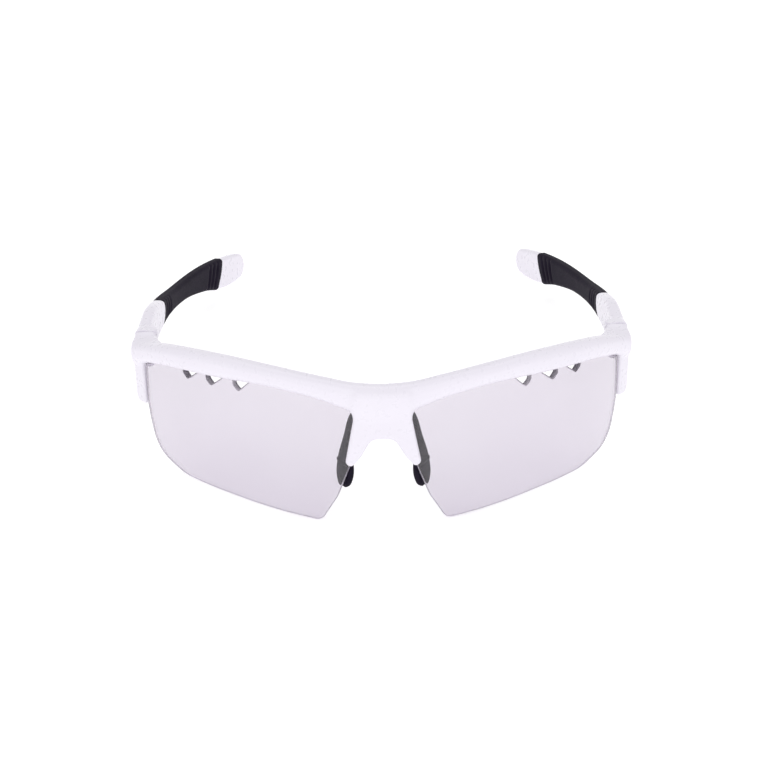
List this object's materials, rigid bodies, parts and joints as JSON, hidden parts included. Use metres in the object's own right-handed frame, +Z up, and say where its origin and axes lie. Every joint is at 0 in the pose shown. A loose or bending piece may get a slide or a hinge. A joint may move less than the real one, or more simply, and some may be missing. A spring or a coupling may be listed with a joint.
{
  "type": "sports protective glasses",
  "caption": "White half-rim wraparound sports glasses with clear separate lenses, rubber nose pads and folding temple arms with rubber grips.",
  "frame": {"origin": "on the table under the middle of the pair, which rests open on its lens bottoms and temple tips", "axes": "+X to the wearer's left, +Y from the lenses back along the open temples, +Z up"},
  "size_m": [0.1414, 0.1574, 0.0448],
  "materials": {
    "frame_white": "smooth glossy white moulded nylon with a faint cool tint",
    "lens_clear": "clear moulded polycarbonate with a faint lilac tint and polished edges",
    "rubber_black": "satin black thermoplastic rubber, finely grained",
    "spring_steel": "plain stamped strip",
    "screw_steel": "bright turned steel",
    "brass": "turned brass"
  },
  "bodies": {
    "front": {"front_frame": "frame_white", "left_lens": "lens_clear", "right_lens": "lens_clear", "left_nose_pad": "rubber_black", "right_nose_pad": "rubber_black", "left_nose_pad_core": "spring_steel", "right_nose_pad_core": "spring_steel", "left_hinge_screw": "screw_steel", "right_hinge_screw": "screw_steel", "left_hinge_insert": "brass", "right_hinge_insert": "brass"},
    "left_temple": {"left_temple_arm": "frame_white", "left_temple_grip": "rubber_black", "left_temple_tip": "frame_white", "left_temple_core": "spring_steel"},
    "right_temple": {"right_temple_arm": "frame_white", "right_temple_grip": "rubber_black", "right_temple_tip": "frame_white", "right_temple_core": "spring_steel"}
  },
  "joints": [
    {"name": "left_temple_hinge", "type": "hinge", "parent": "front", "child": "left_temple", "pos_m": [0.0664, -0.03241, 0.03237], "axis": [0, 0.2297, 0.9733], "range_deg": [0, 88]},
    {"name": "right_temple_hinge", "type": "hinge", "parent": "front", "child": "right_temple", "pos_m": [-0.0664, -0.03241, 0.03237], "axis": [0, -0.2297, -0.9733], "range_deg": [0, 76]}
  ]
}
